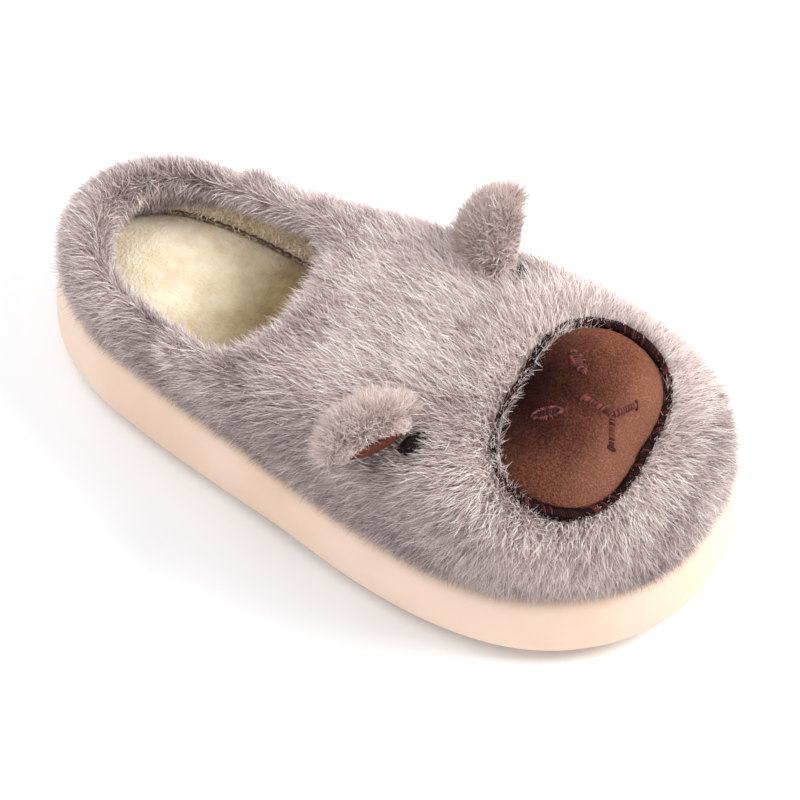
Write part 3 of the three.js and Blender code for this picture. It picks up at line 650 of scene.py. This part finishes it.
ear_fur = Finish("ear pile", Roughness=0.6)
ear_root = ear_fur.mix(ear_fur.attribute("tone"), paint(166, 148, 145), paint(222, 204, 198))
ear_tip = ear_fur.mix(ear_fur.attribute("tone"), paint(214, 194, 189), paint(250, 236, 230))
ear_fur.feed("Base Color", ear_fur.mix(
    ear_fur.attribute("reach").ramp(0.05, 0.8), ear_root, ear_tip))
ear_cloth = Finish("ear backing", Base_Color=(*paint(156, 140, 137), 1), Roughness=0.95)
velour = Finish("brown velour", Roughness=0.85, Specular_IOR_Level=0.1)
velour_grain = velour.noise(0.0007, 2, 0.6)
velour.feed("Base Color", velour.mix(
    velour_grain.ramp(0.3, 0.7), paint(66, 32, 22), paint(122, 68, 48)))
velour.bump(velour_grain, 0.0006, 0.9)

for side in ("medial", "lateral"):
    ear = set_form(rounded(make_piece(
        f"ear_pad_{side}", without_locks(joined_form(f"ear_{side}"), 0.9), "plush", ear_cloth,
        replaces=[f"ear_{side}"]), 2))
    ear_low, ear_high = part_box(f"ear_{side}")
    foot = np.array(((ear_low.x + ear_high.x) / 2, (ear_low.y + ear_high.y) / 2, ear_low.z))
    outward = face_outward if side == "medial" else -face_outward
    face = np.array([face_forward, outward, -face_down])
    upward = np.array([0, 0, 1]) + face_down * face
    ear_roots, ear_normals = scatter(triangles_of(ear), ear_count)
    from_lining = ear_roots - middle_of(f"ear_lining_{side}")
    front = (from_lining @ face > -0.0035) & (ear_normals @ face > -0.25)
    flat = np.linalg.norm(from_lining - np.outer(from_lining @ face, face), axis=1)
    hairy = ~(front & (flat < lining_radius))
    ear_roots, ear_normals, from_lining, front = (
        rows[hairy] for rows in (ear_roots, ear_normals, from_lining, front))
    above = from_lining @ upward
    fan = np.where(front[:, None], unit(from_lining) + face * 0.3,
                   unit(ear_roots - foot) - 0.35 * face)
    clipped = np.where(above > 0.002, clipped_above, clipped_below)
    # Hair below the lining is darkened as painted shade beneath the ear's face; the rest of its
    # tone is random.
    ear_tone_and_shade = chance.random(len(ear_roots)) - 0.25 * (above < -0.002)
    grow_pile(f"ear_pile_{side}", ear_roots, ear_normals, fan,
              np.where(front, clipped, ear_length), ear_width, "plush", ear_fur,
              np.clip(ear_tone_and_shade, 0, 1), bend=0.35, clump=0.15)
    give_finish(f"ear_lining_{side}", velour)

# Muzzle
# A domed pad of brown velour on top of the toe, sewn down round its edge. Its colour carries a
# painted sheen: painted shade round a spot near its rear and painted light towards the toe, with a
# painted highlight where the dome turns down to the toe.
muzzle_velour = Finish("muzzle velour", Roughness=0.85, Specular_IOR_Level=0.05)
# Painted sheen: shade round a spot near the pad's rear on the little-toe side, light growing away
# from it.
shade_spot = muzzle_middle + Vector((-0.0156, -0.0051, 0))
from_shade_spot = muzzle_velour.node("ShaderNodeVectorMath", {"operation": "DISTANCE"}, {
    0: muzzle_velour.place(), 1: shade_spot}, "Value")
painted_sheen = (from_shade_spot + muzzle_velour.noise(0.012, 2, 0.5) * 0.016 - 0.008).ramp(0.006, 0.047)
muzzle_grain = muzzle_velour.noise(0.0007, 3, 0.7).ramp(0.3, 0.7)
muzzle_shaded = muzzle_velour.mix(muzzle_grain, paint(18, 4, 4), paint(50, 20, 16))
muzzle_lit = muzzle_velour.mix(muzzle_grain, paint(98, 53, 39), paint(158, 101, 78))
# Painted highlight where the dome's surface turns down towards the toe.
muzzle_rim_highlight = muzzle_velour.facing("X").ramp(0.25, 0.8) * 0.3
muzzle_velour.feed("Base Color", muzzle_velour.mix(
    muzzle_rim_highlight, muzzle_velour.mix(painted_sheen, muzzle_shaded, muzzle_lit), paint(178, 124, 104)))
muzzle_velour.bump(muzzle_grain, 0.0006, 0.8)
muzzle = set_form(rounded(make_piece(
    "muzzle_pad", four_sided(joined_form("muzzle")), "velour", muzzle_velour,
    replaces=["muzzle"]), 1))

# Eyes
# Two half-shut eyes of black felt, sewn down in the pile in front of the ears. The far one lies
# almost hidden in the hair.
lid = Finish("black felt", Base_Color=(*paint(24, 17, 18), 1), Roughness=0.8,
             Specular_IOR_Level=0.2)
lid.bump(lid.noise(0.001, 2), 0.0005, 0.6)
for side in ("medial", "lateral"):
    give_finish(f"eye_{side}", lid)

# Border of the muzzle
# A cord round the muzzle's edge, overcast with dark thread that also holds the velour down. The
# stitches slant a little along the cord, and some are painted a lighter red as painted highlights.
border_pitch, border_slant = 0.0008, 0.45
thread = Finish("dark thread", Roughness=0.6, Specular_IOR_Level=0.1)
# Random stitches are painted a lighter red, as painted highlights on the dark thread.
thread.feed("Base Color", thread.mix(
    thread.attribute("tone").ramp(0.6, 1), paint(30, 9, 9), paint(82, 36, 31)))
give_finish("muzzle_border", thread)


def surface_of(*meshes):
    """The joined surface of some meshes, to find how high a thread lies on them."""
    form = bmesh.new()
    for mesh in meshes:
        form.from_mesh(mesh)
    surface = BVHTree.FromBMesh(form)
    form.free()
    return surface


def lie_on(surface, flat):
    """The tops of the surface at places seen from above, with its normals there."""
    hits = [surface.ray_cast(Vector((x, y, 0.2)), Vector((0, 0, -1))) for x, y in flat]
    return np.array([hit[0] for hit in hits]), np.array([hit[1] for hit in hits])


def middle_line(ring, stops=90, window=0.05):
    """The line midway between the inner and outer edges of a flat ring about 0."""
    ring_turn = np.arctan2(ring[:, 1], ring[:, 0])
    line = []
    for turn in np.linspace(-math.pi, math.pi, stops + 1)[:-1]:
        apart = np.abs((ring_turn - turn + math.pi) % (2 * math.pi) - math.pi)
        near = ring[apart < window] if (apart < window).any() else ring[[apart.argmin()]]
        radius = np.linalg.norm(near, axis=1)
        line.append((near[radius.argmin()] + near[radius.argmax()]) / 2)
    line = np.array(line)
    return (np.roll(line, 1, 0) + line * 2 + np.roll(line, -1, 0)) / 4


def spaced(line, pitch):
    """Places along a closed flat line, one pitch apart."""
    loop = np.vstack([line, line[:1]])
    run = np.concatenate([[0], np.cumsum(np.linalg.norm(np.diff(loop, axis=0), axis=1))])
    spots = np.arange(0, run[-1], pitch)
    return np.stack([np.interp(spots, run, loop[:, axis]) for axis in (0, 1)], 1)


middle = np.array(muzzle_middle[:2])
border_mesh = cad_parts["muzzle_border"].data
border_flat = spaced(
    middle_line(rows_of(border_mesh.vertices, "co")[:, :2] - middle), border_pitch)
ahead = np.roll(border_flat, -1, 0) - np.roll(border_flat, 1, 0)
level_ahead = np.column_stack([ahead, np.zeros(len(ahead))])
level_across = np.column_stack([ahead[:, 1], -ahead[:, 0], np.zeros(len(ahead))])
border_places, border_up = lie_on(surface_of(border_mesh, muzzle.data), border_flat + middle)
lay_stitches("border_stitches", stitch_form(0.0009, 0.0030, 0.0006),
             border_places - border_up * 0.0001,
             unit(level_across) + border_slant * unit(level_ahead), border_up, thread)

# Mouth
# A Y embroidered through the velour in reddish satin thread, with short close stitches across
# its three lines. Each line ends in wider stitches.
mouth_pitch, mouth_fork = 0.00045, 0.67
wide_end, wide_stretch = 0.0009, 1.7
satin = Finish("reddish satin thread", Roughness=0.5, Specular_IOR_Level=0.2)
# Random stitches are painted lighter and pinker, as painted highlights on the satin.
satin.feed("Base Color", satin.mix(
    satin.attribute("tone").ramp(0.2, 1), paint(46, 15, 13), paint(118, 60, 52)))
muzzle_top = surface_of(muzzle.data)
mouth_low, mouth_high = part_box("mouth")
mouth_middle = (mouth_low.y + mouth_high.y) / 2
fork = np.array([mouth_low.x + (mouth_high.x - mouth_low.x) * mouth_fork, mouth_middle])
mouth_ends = np.array([
    [mouth_low.x + 0.0008, mouth_middle], [mouth_high.x - 0.001, mouth_low.y + 0.001],
    [mouth_high.x - 0.001, mouth_high.y - 0.001]])
mouth_flat, mouth_across, mouth_stretch = [], [], []
for end in mouth_ends:
    reach = np.linalg.norm(end - fork)
    ahead = (end - fork) / reach
    for spot in np.arange(0.0004, reach, mouth_pitch):
        mouth_flat.append(fork + ahead * spot)
        mouth_across.append([-ahead[1] + 0.3 * ahead[0], ahead[0] + 0.3 * ahead[1], 0])
        mouth_stretch.append(wide_stretch if reach - spot < wide_end else 1)
mouth_places, mouth_up = lie_on(muzzle_top, np.array(mouth_flat))
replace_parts(lay_stitches(
    "mouth_stitches", stitch_form(0.0006, 0.0018, 0.0006), mouth_places,
    np.array(mouth_across), mouth_up, satin, np.array(mouth_stretch)), "mouth")

# Nostrils
# Two embroidered ovals: a ring of short stitches round each, and long satin stitches across it.
# Both are sewn alike; the near one's fill is given the dark thread as painted shade, and the far
# one's the lighter satin as painted sheen.
rim_stops, fill_pitch, fill_span = 39, 0.0004, 0.0030
for side in ("medial", "lateral"):
    oval = rows_of(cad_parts[f"nostril_{side}"].data.vertices, "co")[:, :2]
    centre = oval.mean(0)
    length_way = np.linalg.svd(oval - centre, full_matrices=False)[2][0]
    width_way = np.array([-length_way[1], length_way[0]])
    half_length, half_width = (np.abs((oval - centre) @ way).max() for way in (
        length_way, width_way))
    turns = np.linspace(0, 2 * math.pi, rim_stops + 1)[:-1, None]
    outline = np.cos(turns) * half_length * length_way + np.sin(turns) * half_width * width_way
    places, up = lie_on(muzzle_top, centre + outline * 0.92)
    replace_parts(lay_stitches(
        f"nostril_rim_{side}", stitch_form(0.0006, 0.0014, 0.0006), places,
        np.column_stack([outline, np.zeros(len(outline))]), up, satin),
        f"nostril_{side}")
    spots = np.arange(-0.85, 0.86, fill_pitch / half_length)[:, None]
    places, up = lie_on(muzzle_top, centre + spots * half_length * length_way)
    across = np.tile([*(width_way + 0.25 * length_way), 0], (len(spots), 1))
    width = half_width * 2 * np.sqrt(1 - spots[:, 0] ** 2)
    # Painted shade on the near nostril's fill and painted sheen on the far one's.
    lay_stitches(f"nostril_satin_{side}", stitch_form(0.0005, fill_span, 0.0006), places, across,
                 up, satin if side == "medial" else thread, width / fill_span)
